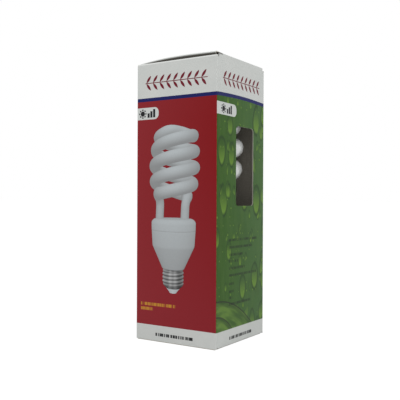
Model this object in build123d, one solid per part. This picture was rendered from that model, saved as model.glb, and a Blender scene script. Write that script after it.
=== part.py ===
from build123d import *
from math import asin, atan, cos, degrees, hypot, radians, sin, tan
import os

# Boxed energy saving lamp: a folding carton with a die-cut window, and the lamp that stands in it.
# Millimetres. Origin at the middle of the carton's underside, +Z up.
# The carton's front panel faces -Y and its window panel faces +X.

# Carton: driving dimensions
WIDTH = 68.4            # square plan, outside
HEIGHT = 200.0          # underside to the level of the top folds
BOARD = 0.5             # thickness of the card
FOLD_R = 0.9            # outside radius of a fold
SCORE_GAP = 0.06        # slack in the score line that a lid turns on
NOTCH = 2.7             # relief at each end of a dust flap's fold
FLAP_LENGTH = 31.7      # dust flap, from the carton's side to its free edge
FLAP_TAPER = 3.5        # how much a dust flap narrows at each side
FLAP_CORNER = 5.0
CUT_EDGE_DROP = 0.45    # the cut edge that a tongue is tucked behind, inside the fold level
SEAM_SETBACK = 0.45     # raw edge of the overlapping panel at the glued corner
GLUE_FLAP = 13.0        # width of the glued flap
GLUE_FLAP_END = 4.6     # its ends stop this far inside the carton's ends
GLUE_FLAP_SLOPE = 5.0   # and slope in by this much

HALF = WIDTH / 2
WALL_IN = HALF - BOARD          # inner face of every wall
FLAP_LEVEL = BOARD + SCORE_GAP  # outer faces of the dust flaps, from either end

# Window in the side panel
WINDOW_Y = (-8.2, 17.2)
WINDOW_Z = (97.3, 153.8)
WINDOW_R = 2.7

# Lids: panel, bend and tongue folded from one piece
LID_INSET = 1.35        # a lid is narrower than the carton by this at each side
BEND_R = 1.3            # outside radius of the bend
TONGUE_LENGTH = 16.0
TONGUE_INSET = 2.0
TONGUE_CORNER = 9.0
BEND_SETBACK = 1.05     # front of a flat lid's bend, behind the outside of the panel before its tongue
TONGUE_LEAN = 7.0       # degrees that a flat lid's tongue leans in
FLAT = ((-1.0, 0.0, BEND_SETBACK, TONGUE_LEAN), (1.0, 0.0, BEND_SETBACK, TONGUE_LEAN))
SPRUNG = (              # top lid: share of half width, rise of its front, bend's setback, tongue's lean
    (-1.0, 0.25, BEND_SETBACK, TONGUE_LEAN),
    (-0.62, 1.5, 0.45, 20.0),
    (-0.1, 2.4, 0.1, 27.0),
    (0.5, 2.5, 0.1, 27.0),
    (1.0, 2.2, 0.1, 27.0),
)
RIDGE = 2.1             # the window side's upper fold has sprung up by this beside the lid
RIDGE_R = 0.62          # outside radius of that fold, which is bent right over

# Lamp: heights are measured up from the tip of its contact
TIP_Z = FLAP_LEVEL + BOARD  # it stands on the bottom dust flaps
LEG_AZIMUTH = 29.0      # direction of one leg of the tube, in degrees from +X
TUBE_R = 6.9
LEG_R = 5.5
LEG_OFFSET = 15.5       # each leg's axis from the lamp's axis
LEG_FOOT = 65.0
LEG_NECK = (84.0, 89.5) # where a leg swells to the tube's full width
HELIX_R = 23.2          # of the tube's centre line, at its lowest and highest turns
HELIX_SWELL = 1.9       # the middle turns are this much wider
HELIX_PITCH = 32.4      # rise of each of the two strands in one turn
HELIX_BASE = 106.9      # height of a strand, run back to its own leg
LEG_BEND = (             # from leg to helix; heights are over its base
    (LEG_OFFSET, 0, -8.6),
    (17.0, 3.0, -3.1),
    (18.3, 8.5, 1.1),
)
HELIX_FROM = 50.0       # angle past the leg at which a strand is on the helix
HELIX_TO = 580.0
HELIX_STEPS = 18
BRIDGE_TOP = 162.2      # centre line where the two strands join over the axis
BRIDGE_ANGLES = (45, 90, 135)

# Lamp base
CAP_CREST_R = 13.1
CAP_ROOT_R = 12.15
CAP_PITCH = 3.62
CAP_THREAD_R = 1.25     # of the round rib that the rolled thread forms
CAP_THREAD_TURNS = 3.4
CAP_SKIN = 0.35
CAP_TOP = 25.0
CAP_THREAD_FROM = 9.9   # height of the rib's lower end
CAP_SHOULDER = 8.3      # the sheet is upright above this
CAP_LIP_R = 8.6
CAP_LIP = 5.2
CONTACT_R = 4.8
CONTACT = 1.1
CONE = (25.0, 44.0)
CONE_R = (13.65, 25.85)
SEAM = 62.0             # line between lower housing and tube cover
SEAM_R = 27.1
COVER_RIM = 71.5
COVER_RIM_R = 27.3
COVER_TOP = 75.0
COVER_TOP_R = 22.3
COVER_ROUND = 2.2
COVER_DOME = 0.6        # rise of the cover's top plate at its middle
SHELL_WALL = 1.6
SKIRT_GAP = 0.35        # between the cover's snap skirt and the housing
SKIRT_WALL = 1.4
SKIRT_ROOT = (1.2, 3.2) # the skirt's inner slope, over the seam
NECK_FOOT = 12.0        # the housing's neck reaches this low inside the cap
NECK_R = CAP_ROOT_R - CAP_SKIN - 0.05
NECK_WALL = 1.2
PCB = (57.0, 58.6)      # underside and top of the circuit board
PCB_R = 24.6
LEDGE_R = 22.6          # the housing's inner ledge that the circuit board rests on
DRAFT = 0.4             # the barrel narrows inside by this at the ledge, and again below it
CONE_LIFT = 0.5         # the inner cone lies this much over the outer one's offset
LEDGE_EDGE = 1.2        # thickness of the ledge at its free edge
LEDGE_SLOPE = 2.2       # height of the slope under it
LEG_FIT = 0.25          # slack round each leg in the cover
CEMENT = 3.4            # depth of the cement round each leg
CEMENT_WALL = 1.0
LEAD_HOLE_R = 0.9
STUB_TOP = 6.0
INSULATOR_R = 11.5
INSULATOR_TOP = 9.3

# Ballast parts, which hang from the circuit board's underside
STANDOFF = 0.6          # gap between the board and a component's body
PIN_R = 0.35
WIRE_R = 0.4
SMOOTHING_AT = (3.0, 8.5)
SMOOTHING_R = 6.25
SMOOTHING_LENGTH = 20.0
CHOKE_AT = (-11.0, -5.5)
CORE = 16.0             # the ferrite core is square in plan
CORE_THICK = 4.6
CORE_CENTRE = 4.6       # centre limb
CORE_LIMB = 2.4
CORE_YOKE = 2.5
COIL_HALF = 5.4
COIL_LENGTH = 10.8
CHEEK_HALF = 5.3
BOBBIN_WALL = 0.8
RING_AT = (11.5, -8.0)
RING_R = 3.7
RING_SECTION_R = 1.5
RING_WIRE_R = 0.3
RING_DROP = 2.6
RING_GROUPS = (20, 140, 260)
RING_LOOPS = 3
RING_LOOP_STEP = 17
TRANSISTOR = (7.8, 3.0, 10.8)
TRANSISTORS_AT = ((13.6, 2.0), (-5.0, 17.4))
FILM_CAPACITORS = (     # x, y, length, thickness, height
    (15.0, 11.0, 7.0, 4.0, 8.0),
    (-10.5, 7.6, 7.0, 4.2, 8.5),
    (3.0, -16.8, 8.0, 4.4, 9.5),
)
EDGE_ROW_R = 20.4       # small parts stand this far from the axis
FUSE = (12.5, 22.0)
FUSE_R = 1.8
SHELL_LEAD_Z = 10.2


def polar(radius, angle, height):
    """Point at a radius and an angle in degrees round the lamp's axis."""
    return Vector(radius * cos(radians(angle)), radius * sin(radians(angle)), height)


def upright(radius, low, high, x=0.0, y=0.0):
    """Upright round bar between two heights."""
    return Pos(x, y, low) * Cylinder(radius, high - low, align=(Align.CENTER, Align.CENTER, Align.MIN))


def block(x, y, z):
    """Box between pairs of limits."""
    return Pos(x[0], y[0], z[0]) * Box(x[1] - x[0], y[1] - y[0], z[1] - z[0], align=Align.MIN)


def turned(*outline):
    """Solid of revolution from an outline of (radius, height) points."""
    return revolve(Plane.XZ * make_face(Polyline(*outline, close=True)), Axis.Z)


def rounded_line(points, share=0.45):
    """Straight runs joined by tangent arcs, each arc as large as its two runs allow."""
    points = [Vector(*p) for p in points]
    radii = []
    for a, b, c in zip(points, points[1:], points[2:]):
        half_turn = radians((b - a).get_angle(c - b)) / 2
        radii.append(share * min((b - a).length, (c - b).length) / tan(half_turn))
    return FilletPolyline(*points, radius=radii)


def rod(points, radius):
    """Round rod along a rounded line."""
    line = rounded_line(points)
    section = Plane(origin=line @ 0, z_dir=line % 0) * Circle(radius)
    return sweep(section, path=line)


def half_turn(shape):
    """A shape's twin, half a turn round the lamp's axis."""
    return Rot(0, 0, 180) * shape


def group(shapes):
    """Separate solids of one node."""
    return Part() + list(shapes)


# Carton

def folded_walls():
    """Four walls from one strip. The last panel's raw edge is set back over the glued flap."""
    outside = RectangleRounded(WIDTH, WIDTH, FOLD_R)
    inside = RectangleRounded(2 * WALL_IN, 2 * WALL_IN, FOLD_R - BOARD)
    walls = Pos(0, 0, FLAP_LEVEL) * extrude(outside - inside, HEIGHT - 2 * FLAP_LEVEL)
    setback = block((-HALF, -WALL_IN), (HALF - SEAM_SETBACK, HALF), (0, HEIGHT))
    foot = FLAP_LEVEL + GLUE_FLAP_END
    outline = Polyline(
        (WALL_IN, foot),
        (HALF - GLUE_FLAP, foot + GLUE_FLAP_SLOPE),
        (HALF - GLUE_FLAP, HEIGHT - foot - GLUE_FLAP_SLOPE),
        (WALL_IN, HEIGHT - foot),
        close=True,
    )
    glue_flap = extrude(Plane.YZ.offset(-WALL_IN) * make_face(outline), BOARD)
    return walls - setback + glue_flap


def dust_flap(ridge):
    """Upper dust flap of the window side, with its fold, which may stand up as a ridge."""
    level = HEIGHT - FLAP_LEVEL
    foot = level - FOLD_R
    if ridge:
        top = level + ridge - RIDGE_R
        inner = HALF - 2 * RIDGE_R
        over = Pos(HALF - RIDGE_R, top) * (Circle(RIDGE_R) - Circle(RIDGE_R - BOARD))
        fold = over & Pos(inner, top) * Rectangle(2 * RIDGE_R, RIDGE_R, align=Align.MIN)
        fold += Pos(WALL_IN, foot) * Rectangle(BOARD, top - foot, align=Align.MIN)
        fold += Pos(inner, level - BOARD) * Rectangle(BOARD, top - level + BOARD, align=Align.MIN)
    else:
        inner = HALF - FOLD_R
        ring = Circle(FOLD_R) - Circle(FOLD_R - BOARD)
        fold = Pos(inner, foot) * (ring & Rectangle(FOLD_R, FOLD_R, align=Align.MIN))
    sheet = block((HALF - FLAP_LENGTH, inner), (-HALF, HALF), (level - BOARD, level))
    bent = extrude(Plane.XZ * fold, HALF, both=True) + sheet
    edge = HALF - NOTCH
    plan = make_face(Polyline(
        (HALF, -edge),
        (HALF - 2 * FOLD_R, -edge),
        (HALF - FLAP_LENGTH, FLAP_TAPER - edge),
        (HALF - FLAP_LENGTH, edge - FLAP_TAPER),
        (HALF - 2 * FOLD_R, edge),
        (HALF, edge),
        close=True,
    ))
    plan = fillet(plan.vertices().sort_by(Axis.X)[:2], FLAP_CORNER)
    return bent & extrude(plan, 2 * HEIGHT)


def window_cut():
    """Tall window with rounded corners, through the side panel."""
    centre = ((WINDOW_Y[0] + WINDOW_Y[1]) / 2, (WINDOW_Z[0] + WINDOW_Z[1]) / 2)
    shape = RectangleRounded(WINDOW_Y[1] - WINDOW_Y[0], WINDOW_Z[1] - WINDOW_Z[0], WINDOW_R)
    return extrude(Plane.YZ.offset(WALL_IN - 1) * Pos(*centre) * shape, BOARD + 2)


def carton_sleeve():
    """Walls, glued flap and four dust flaps, folded from one sheet."""
    sleeve = folded_walls() - window_cut()
    fold_foot = FLAP_LEVEL + FOLD_R
    straight = HALF - FOLD_R
    for x in ((WALL_IN - 1, HALF + 1), (-HALF - 1, 1 - WALL_IN)):
        sleeve -= block(x, (-straight, straight), (HEIGHT - fold_foot, HEIGHT))
        sleeve -= block(x, (-straight, straight), (0, fold_foot))
    flap = dust_flap(0)
    other_side = Plane.YZ
    other_end = Plane.XY.offset(HEIGHT / 2)
    sleeve += dust_flap(RIDGE)
    sleeve += mirror(flap, other_side)
    sleeve += mirror(flap, other_end)
    sleeve += mirror(mirror(flap, other_side), other_end)
    lip = (CUT_EDGE_DROP, FLAP_LEVEL + 0.1)
    top_lip = (HEIGHT - lip[1], HEIGHT - lip[0])
    return sleeve + block((-straight, straight), (-HALF, -WALL_IN), top_lip) + block(
        (-straight, straight), (WALL_IN, HALF), lip)


def lid_section(rise, setback, lean):
    """Side view of a lid: hinge at (0, 0), panel along +X, bend and tongue at the far end."""
    bend = Vector(WIDTH - setback - BEND_R, rise - BEND_R)
    slope = asin((bend.Y + BEND_R) / bend.X)
    lean = radians(lean)
    along = Vector(cos(slope), sin(slope))
    out_of_panel = Vector(-sin(slope), cos(slope))
    down = Vector(-sin(lean), -cos(lean))
    out_of_tongue = Vector(cos(lean), -sin(lean))
    outward = (out_of_panel + out_of_tongue).normalized()
    inner_r = BEND_R - BOARD
    tip = bend + out_of_tongue * BEND_R + down * (TONGUE_LENGTH - BEND_R)
    hinge_low = Vector(0, -BOARD)
    hinge_top = along * BOARD
    hinge_mid = Vector(BOARD, -BOARD) + Vector(-1, 1).normalized() * BOARD
    edges = [
        ThreePointArc(hinge_low, hinge_mid, hinge_top),
        Line(hinge_top, bend + out_of_panel * BEND_R),
        ThreePointArc(*(bend + way * BEND_R for way in (out_of_panel, outward, out_of_tongue))),
        Line(bend + out_of_tongue * BEND_R, tip),
        Line(tip, tip - out_of_tongue * BOARD),
        Line(tip - out_of_tongue * BOARD, bend + out_of_tongue * inner_r),
        ThreePointArc(*(bend + way * inner_r for way in (out_of_tongue, outward, out_of_panel))),
        Line(bend + out_of_panel * inner_r, hinge_low),
    ]
    return make_face(edges)


def lid(shape):
    """Lid from hinge to tongue, lofted across the carton so that its front edge may spring up."""
    half = HALF - LID_INSET
    sheet = loft([Plane((share * half, 0, 0), x_dir=(0, -1, 0), z_dir=(-1, 0, 0)) * lid_section(*section)
                  for share, *section in shape])
    tongue_half = HALF - TONGUE_INSET
    outline = make_face(Polyline(
        (-half, 9), (half, 9), (half, -BEND_R), (tongue_half, -BEND_R),
        (tongue_half, -2 * TONGUE_LENGTH), (-tongue_half, -2 * TONGUE_LENGTH),
        (-tongue_half, -BEND_R), (-half, -BEND_R), close=True,
    ))
    keep = extrude(Plane.XZ * outline, 2 * WIDTH, both=True)
    tip = -TONGUE_LENGTH
    for side in (-1, 1):
        corner = Pos(side * (tongue_half - TONGUE_CORNER), tip + TONGUE_CORNER)
        square = Pos(side * tongue_half, tip) * Rectangle(2 * TONGUE_CORNER, 2 * TONGUE_CORNER)
        keep -= extrude(Plane.XZ * (square - corner * Circle(TONGUE_CORNER)), 2 * WIDTH, both=True)
    return sheet & keep


def top_lid():
    """Lid hinged on the back panel, its tongue behind the front panel, its front edge sprung up."""
    return Pos(0, HALF, HEIGHT) * lid(SPRUNG)


def bottom_lid():
    """Lid hinged on the front panel, its tongue behind the back panel."""
    return Pos(0, -HALF, 0) * Rot(180, 0, 0) * lid(FLAT)


# Discharge tube

def helix_point(angle):
    """Point of a strand's centre line at an angle past its own leg."""
    turn_share = (angle - HELIX_FROM) / (HELIX_TO - HELIX_FROM)
    radius = HELIX_R + HELIX_SWELL * sin(radians(180 * turn_share)) ** 2
    return polar(radius, angle, HELIX_BASE + HELIX_PITCH * angle / 360)


def strand_points():
    """Centre line of one strand: up its leg, round the helix and in over the axis."""
    leg = [
        Vector(LEG_OFFSET, 0, LEG_NECK[1]),
        *(Vector(x, y, HELIX_BASE + z) for x, y, z in LEG_BEND),
    ]
    step = (HELIX_TO - HELIX_FROM) / HELIX_STEPS
    turns = [helix_point(HELIX_FROM + i * step) for i in range(HELIX_STEPS + 1)]
    bridge_r = HELIX_R / 2
    centre = polar(bridge_r, HELIX_TO, 0)
    start = turns[-1].Z
    bridge = []
    for angle in BRIDGE_ANGLES:
        share = angle / BRIDGE_ANGLES[-1]
        height = start + (BRIDGE_TOP - start) * sin(radians(90 * share))
        bridge.append(centre + polar(bridge_r, HELIX_TO + angle, height))
    return leg + turns + bridge


def discharge_tube():
    """Sealed glass tube: two legs, two strands wound round each other and the bridge at the top."""
    strand = strand_points()
    twin = [Vector(-p.X, -p.Y, p.Z) for p in reversed(strand)]
    tube = rod(strand + twin, TUBE_R)
    low, full = LEG_NECK
    leg = upright(LEG_R, LEG_FOOT, low, LEG_OFFSET) + Pos(LEG_OFFSET, 0, low) * Cone(
        LEG_R, TUBE_R, full - low, align=(Align.CENTER, Align.CENTER, Align.MIN))
    return tube + leg + half_turn(leg)


# Lamp base: shells and cap

def lower_housing():
    """Cup that holds the ballast: neck inside the cap, cone, and barrel with a ledge for the board."""
    neck_bore = NECK_R - NECK_WALL
    spread = (CONE_R[1] - CONE_R[0]) / (CONE[1] - CONE[0])
    slant = SHELL_WALL / cos(atan(spread))
    inner_foot = CONE[0] + (neck_bore + slant - CONE_R[0]) / spread
    barrel_in = SEAM_R - SHELL_WALL
    ledge_out = barrel_in - DRAFT
    return turned(
        (NECK_R, NECK_FOOT),
        (NECK_R, CAP_TOP),
        (CONE_R[0], CAP_TOP),
        (CONE_R[1], CONE[1]),
        (SEAM_R, SEAM),
        (barrel_in, SEAM),
        (ledge_out, PCB[0]),
        (LEDGE_R, PCB[0]),
        (LEDGE_R, PCB[0] - LEDGE_EDGE),
        (ledge_out - DRAFT, PCB[0] - LEDGE_EDGE - LEDGE_SLOPE),
        (CONE_R[1] - SHELL_WALL, CONE[1] + CONE_LIFT),
        (neck_bore, inner_foot + CONE_LIFT),
        (neck_bore, NECK_FOOT),
    )


def tube_cover():
    """Cap over the ballast: barrel, rounded rim, top plate with a hole for each leg, and a snap skirt."""
    skirt_out = SEAM_R - SHELL_WALL - SKIRT_GAP
    skirt_in = skirt_out - SKIRT_WALL
    barrel_in = COVER_RIM_R - SHELL_WALL
    under = COVER_TOP - SHELL_WALL
    outline = Polyline(
        (0, under),
        (0, COVER_TOP + COVER_DOME),
        (COVER_TOP_R, COVER_TOP),
        (COVER_RIM_R, COVER_RIM),
        (SEAM_R, SEAM),
        (skirt_out, SEAM),
        (skirt_out, PCB[1]),
        (skirt_in, PCB[1]),
        (skirt_in, SEAM + SKIRT_ROOT[0]),
        (barrel_in, SEAM + SKIRT_ROOT[1]),
        (barrel_in, COVER_RIM - SHELL_WALL),
        (COVER_TOP_R + SHELL_WALL / 2, under),
        close=True,
    )
    face = make_face(outline)
    rim = [v for v in face.vertices() if v.X > COVER_TOP_R - 0.1 and v.Y > COVER_RIM - 0.1]
    cover = revolve(Plane.XZ * fillet(rim, COVER_ROUND), Axis.Z)
    hole = upright(LEG_R + LEG_FIT, under - 1, COVER_TOP + 2, LEG_OFFSET)
    return cover - hole - half_turn(hole)


def leg_cement():
    """Ring of cement under the top plate, round each leg."""
    under = COVER_TOP - SHELL_WALL
    ring = upright(LEG_R + CEMENT_WALL, under - CEMENT, under, LEG_OFFSET)
    ring -= upright(LEG_R, under - CEMENT, under, LEG_OFFSET)
    return group([ring, half_turn(ring)])


def cap_core(inset, past_ends):
    """All that lies inside one face of the cap's sheet: a body of revolution with a round rib wound on it."""
    root = CAP_ROOT_R - inset
    taper = (CAP_ROOT_R - CAP_LIP_R) / (CAP_SHOULDER - CAP_LIP)
    lip_r = CAP_LIP_R - inset * hypot(1, taper)
    core = turned(
        (0, CAP_LIP - past_ends),
        (lip_r - taper * past_ends, CAP_LIP - past_ends),
        (root, CAP_LIP + (root - lip_r) / taper),
        (root, CAP_TOP + past_ends),
        (0, CAP_TOP + past_ends),
    )
    rib_r = CAP_CREST_R - CAP_THREAD_R - inset
    start = degrees(inset / rib_r)
    turns = CAP_THREAD_TURNS - 2 * start / 360
    path = Rot(0, 0, start) * Pos(0, 0, CAP_THREAD_FROM + CAP_PITCH * start / 360) * Helix(
        CAP_PITCH, CAP_PITCH * turns, rib_r)
    section = Plane(origin=path @ 0, z_dir=path % 0) * Circle(CAP_THREAD_R)
    core += sweep(section, path=path, is_frenet=True)
    return core + Pos(*(path @ 0)) * Sphere(CAP_THREAD_R) + Pos(*(path @ 1)) * Sphere(CAP_THREAD_R)


def screw_shell():
    """Edison screw shell of thin sheet: its thread is rolled in, and its lip turned in over the insulator."""
    return cap_core(0, 0) - cap_core(CAP_SKIN, 1)


def cap_insulator():
    """Insulating cone between the screw shell and the centre contact, with a hole for the lead."""
    taper = (CAP_ROOT_R - CAP_LIP_R) / (CAP_SHOULDER - CAP_LIP)
    lip_in = CAP_LIP_R - CAP_SKIN * hypot(1, taper)
    return turned(
        (LEAD_HOLE_R, CONTACT),
        (CONTACT_R, CONTACT),
        (lip_in, CAP_LIP),
        (INSULATOR_R, CAP_LIP + (INSULATOR_R - lip_in) / taper),
        (INSULATOR_R, INSULATOR_TOP),
        (LEAD_HOLE_R, INSULATOR_TOP),
    )


def centre_contact():
    """Contact button with the stub that passes up through the insulator."""
    return turned(
        (0, 0),
        (CONTACT_R - 1.6, 0),
        (CONTACT_R - 0.4, 0.4),
        (CONTACT_R, CONTACT),
        (LEAD_HOLE_R, CONTACT),
        (LEAD_HOLE_R, STUB_TOP),
        (0, STUB_TOP),
    )


# Ballast: the circuit board and what hangs from its underside

def circuit_board():
    """Round board that rests on the housing's ledge."""
    return upright(PCB_R, *PCB)


def below(depth, gap=STANDOFF):
    """Heights of a component that hangs to a depth under the board."""
    return (PCB[0] - gap - depth, PCB[0] - gap)


def with_pins(body, *places):
    """A component's body and its pins, which reach the board from inside it."""
    for x, y in places:
        body += upright(PIN_R, PCB[0] - STANDOFF - 0.5, PCB[0], x, y)
    return body


def electrolytic_capacitor():
    """Smoothing capacitor, upright can with a crimped groove."""
    x, y = SMOOTHING_AT
    low, high = below(SMOOTHING_LENGTH)
    can = fillet(upright(SMOOTHING_R, low, high, x, y).edges(), 0.7)
    groove = Pos(x, y, high - 3) * Torus(SMOOTHING_R + 0.3, 0.7)
    return with_pins(can - groove, (x - 2.5, y), (x + 2.5, y))


def choke_core():
    """Two E-shaped ferrite halves that meet round the coil."""
    x, y = CHOKE_AT
    z = PCB[0] - STANDOFF - COIL_HALF
    window = Box(CORE - 2 * CORE_YOKE, CORE - 2 * CORE_LIMB, CORE_THICK)
    frame = Pos(x, y, z) * (Box(CORE, CORE, CORE_THICK) - window)
    limb = Pos(x, y, z) * Box(CORE, CORE_CENTRE, CORE_THICK)
    return frame + limb


def coil_layer(inner, outer, length):
    """Square sleeve round the choke's centre limb, with rounded corners outside."""
    x, y = CHOKE_AT
    z = PCB[0] - STANDOFF - COIL_HALF
    ring = RectangleRounded(2 * outer, 2 * outer, 0.8) - Rectangle(2 * inner, 2 * inner)
    return Pos(x, y, z) * extrude(Plane.YZ * ring, length / 2, both=True)


def choke_bobbin():
    """Bobbin on the centre limb: tube, two cheeks and four pins."""
    x, y = CHOKE_AT
    inner = CORE_THICK / 2
    tube = coil_layer(inner, inner + BOBBIN_WALL, COIL_LENGTH)
    cheek = coil_layer(inner, CHEEK_HALF, BOBBIN_WALL)
    bobbin = tube
    for end in (-1, 1):
        bobbin += Pos(end * (COIL_LENGTH - BOBBIN_WALL) / 2, 0, 0) * cheek
        pin_x = x + end * (COIL_LENGTH / 2 - PIN_R - 0.1)
        for across in (-2.5, 2.5):
            bobbin += upright(PIN_R, PCB[0] - STANDOFF - 1.5, PCB[0], pin_x, y + across)
    return bobbin


def choke_winding():
    """Copper winding between the bobbin's cheeks."""
    inner = CORE_THICK / 2 + BOBBIN_WALL
    return coil_layer(inner, CHEEK_HALF - 0.5, COIL_LENGTH - 2 * BOBBIN_WALL)


def ring_core():
    """Ferrite ring of the feedback transformer, lying flat under the board."""
    x, y = RING_AT
    return Pos(x, y, PCB[0] - RING_DROP) * Torus(RING_R, RING_SECTION_R)


def ring_windings():
    """Three groups of wire loops round the ferrite ring."""
    x, y = RING_AT
    loops = []
    for first in RING_GROUPS:
        for i in range(RING_LOOPS):
            angle = first + i * RING_LOOP_STEP
            loop = Pos(RING_R, 0, 0) * Rot(90, 0, 0) * Torus(RING_SECTION_R + RING_WIRE_R, RING_WIRE_R)
            loops.append(Pos(x, y, PCB[0] - RING_DROP) * Rot(0, 0, angle) * loop)
    return group(loops)


def transistors():
    """Two switching transistors, each a slab on three legs."""
    made = []
    for (x, y), turn in zip(TRANSISTORS_AT, (90, 0)):
        low, high = below(TRANSISTOR[2], 2 * STANDOFF)
        slab = Pos(0, 0, (low + high) / 2) * Box(*TRANSISTOR)
        slab = chamfer(slab.edges().filter_by(Axis.X).sort_by(Axis.Y)[:2], 0.6)
        for step in (-2.3, 0, 2.3):
            slab += upright(PIN_R, high - 0.5, PCB[0], step, 0)
        made.append(Pos(x, y, 0) * Rot(0, 0, turn) * slab)
    return group(made)


def film_capacitors():
    """Film capacitors, dipped blocks with rounded edges."""
    made = []
    for x, y, long, thick, tall in FILM_CAPACITORS:
        low, high = below(tall)
        dipped = Pos(x, y, (low + high) / 2) * Box(long, thick, tall)
        dipped = fillet(dipped.edges(), 1.0)
        made.append(with_pins(dipped, (x - long / 2 + 1.5, y), (x + long / 2 - 1.5, y)))
    return group(made)


def axial_parts(angles, radius, length):
    """Small round parts that stand under the board's edge, one at each angle."""
    made = []
    for angle in angles:
        place = polar(EDGE_ROW_R, angle, 0)
        low, high = below(length, 3 * STANDOFF)
        body = chamfer(upright(radius, low, high, place.X, place.Y).edges(), 0.25)
        made.append(body + upright(PIN_R, high - 0.5, PCB[0], place.X, place.Y))
    return group(made)


def rectifier_diodes():
    """The bridge's diodes."""
    return axial_parts((126, 138, 150, 162), 1.35, 5.2)


def resistors():
    """Base and start resistors."""
    return axial_parts((-20, -7, 6), 1.2, 6.2)


def filament_leads():
    """Two wires from the foot of each leg to the board."""
    pair = [upright(WIRE_R, PCB[1], LEG_FOOT, LEG_OFFSET, y) for y in (-2.2, 2.2)]
    return group(pair + [half_turn(wire) for wire in pair])


def fusible_resistor():
    """Sleeved resistor in the lead to the centre contact, inside the cap."""
    return chamfer(upright(FUSE_R, *FUSE).edges(), 0.4)


def supply_leads():
    """Leads from the board to the fusible resistor, on to the contact, and to the screw shell."""
    upper = rod([(1, -9, PCB[0]), (1, -9, 46), (0, 0, 32), (0, 0, FUSE[1])], WIRE_R)
    lower = upright(WIRE_R, STUB_TOP, FUSE[0])
    to_shell = rod([(0, -4, PCB[0]), (0, -4, 46), (-6, -3, 35), (-9.3, 0, 25), (-9.3, 0, 12.6),
                    (-CAP_ROOT_R + CAP_SKIN, 0, SHELL_LEAD_Z)], WIRE_R)
    return group([upper, lower, to_shell])


PIECES = {
    "carton_sleeve": carton_sleeve,
    "top_lid": top_lid,
    "bottom_lid": bottom_lid,
}
LAMP_PIECES = {
    "discharge_tube": discharge_tube,
    "tube_cover": tube_cover,
    "leg_cement": leg_cement,
    "lower_housing": lower_housing,
    "screw_shell": screw_shell,
    "cap_insulator": cap_insulator,
    "centre_contact": centre_contact,
    "circuit_board": circuit_board,
    "electrolytic_capacitor": electrolytic_capacitor,
    "choke_core": choke_core,
    "choke_bobbin": choke_bobbin,
    "choke_winding": choke_winding,
    "ring_core": ring_core,
    "ring_windings": ring_windings,
    "transistors": transistors,
    "film_capacitors": film_capacitors,
    "rectifier_diodes": rectifier_diodes,
    "resistors": resistors,
    "filament_leads": filament_leads,
    "fusible_resistor": fusible_resistor,
    "supply_leads": supply_leads,
}

os.makedirs("parts", exist_ok=True)
in_carton = Pos(0, 0, TIP_Z) * Rot(0, 0, LEG_AZIMUTH)
for name, make in PIECES.items():
    export_step(make(), f"parts/{name}.step")
for name, make in LAMP_PIECES.items():
    export_step(in_carton * make(), f"parts/{name}.step")
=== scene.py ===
"""Looks of the boxed energy saving lamp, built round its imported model. Metres, in the row's frame."""

from math import atan2, cos, hypot, pi, radians, sin

import bpy
from mathutils import Matrix, Vector


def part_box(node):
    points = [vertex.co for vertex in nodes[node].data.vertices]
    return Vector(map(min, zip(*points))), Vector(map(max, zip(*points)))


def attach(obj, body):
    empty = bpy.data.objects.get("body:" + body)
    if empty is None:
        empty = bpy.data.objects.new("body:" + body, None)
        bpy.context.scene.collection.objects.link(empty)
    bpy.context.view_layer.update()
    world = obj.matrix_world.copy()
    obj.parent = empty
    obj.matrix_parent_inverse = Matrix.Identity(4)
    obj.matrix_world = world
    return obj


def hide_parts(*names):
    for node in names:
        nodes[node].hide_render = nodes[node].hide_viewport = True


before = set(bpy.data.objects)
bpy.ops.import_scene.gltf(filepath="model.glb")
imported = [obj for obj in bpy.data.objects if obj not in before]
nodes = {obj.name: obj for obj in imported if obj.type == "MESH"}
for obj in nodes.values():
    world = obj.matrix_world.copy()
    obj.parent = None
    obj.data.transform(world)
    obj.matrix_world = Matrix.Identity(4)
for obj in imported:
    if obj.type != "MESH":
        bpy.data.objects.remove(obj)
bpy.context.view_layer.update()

MM = 0.001
CARTON = "carton"       # the body that the lamp and the sleeve belong to

# Carton, from the frame
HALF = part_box("carton_sleeve")[1].x
HEIGHT = 200 * MM
BOARD = 0.5 * MM
WALL_MID = HALF - 0.4 * MM      # between the sheet's inner and outer face, at walls and folds alike
FLAP_LEVEL = 0.56 * MM          # outer faces of the dust flaps, from either end

# Camera, fitted to the carton's edges in the photograph
IMAGE_SIZE = 400
FOCAL_PIXELS = 642.72
SENSOR = 36.0
CAMERA_AT = Vector((259.59, -403.13, 101.80)) * MM
CAMERA_YAW = -0.5744
CAMERA_PITCH = -0.001
CAMERA_ROLL = 0.0045

# Print layout on the carton, heights above its underside
BAND_TOP = 174.6 * MM       # lower edge of the white band
STRIPE_LOW = 172.1 * MM     # lower edge of the navy stripe
SIDE_BAND_LIFT = 1.0 * MM   # both bow up this much towards the middle of the side panels
BAND_LOW = 11.6 * MM        # upper edge of the bottom band
WINDOW_SPAN = (96 * MM, 155 * MM)               # takes in the whole height of the window
LAUREL_ENDS = (7.6 * MM, 60.7 * MM)             # from the panel's left edge
LAUREL_LEVEL = 185.2 * MM
FRONT_TAB = (7.8 * MM, 11.7 * MM, 163.45 * MM, 4.3 * MM)   # centre and half width, level and half height
SIDE_TAB = (11.0 * MM, 15.2 * MM, 164.1 * MM, 4.3 * MM)
FRONT_SIGN = 9.3 * MM                           # from the panel's left edge to the sign's middle
SIDE_SIGN = 12.6 * MM
TAB_CORNER = 3.6 * MM
LOWER_LEAVES = ((32.0, 44.6, 16.7), (21.5, 19.0, 8.4))      # mm: top, reach to the right, drop over it
SMALL_PRINT = 2.2 * MM                          # height of the marks on the front and the bottom band
SIDE_PRINT = 1.8 * MM                           # and on the window panel
BAND_PRINT = ((17.5 * MM, 49.5 * MM), 5.2 * MM)    # ends and level of the marks in the bottom band
SLOT_SHADE_FROM = HEIGHT - 0.6 * MM                   # painted shade on the lid's bend above this
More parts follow.
